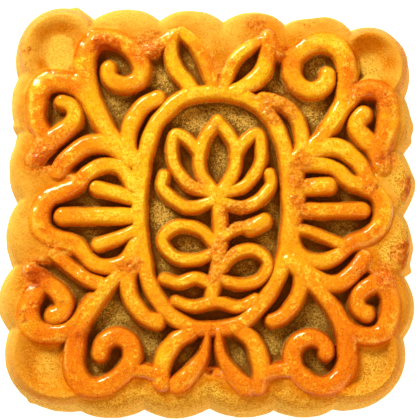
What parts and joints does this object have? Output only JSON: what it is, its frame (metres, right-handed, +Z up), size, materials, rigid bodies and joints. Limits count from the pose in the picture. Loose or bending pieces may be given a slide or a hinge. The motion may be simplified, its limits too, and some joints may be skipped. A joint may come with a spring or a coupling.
{
  "type": "mooncake",
  "caption": "Square baked mooncake with a scalloped rim and fluted sides, its top pressed with scrolls, leaves and a framed lotus in raised ropes.",
  "frame": {"origin": "middle of the flat underside, where the cake rests", "axes": "+Z up through the pressed top, +X to the right and +Y to the top of the ornament as it is read from above"},
  "size_m": [0.0762, 0.0754, 0.0326],
  "materials": {
    "crust": "golden baked crust, glossy with egg wash on the raised ropes, matt and sandy on the sunken ground"
  },
  "bodies": {
    "root": {"mooncake": "crust"}
  },
  "joints": []
}
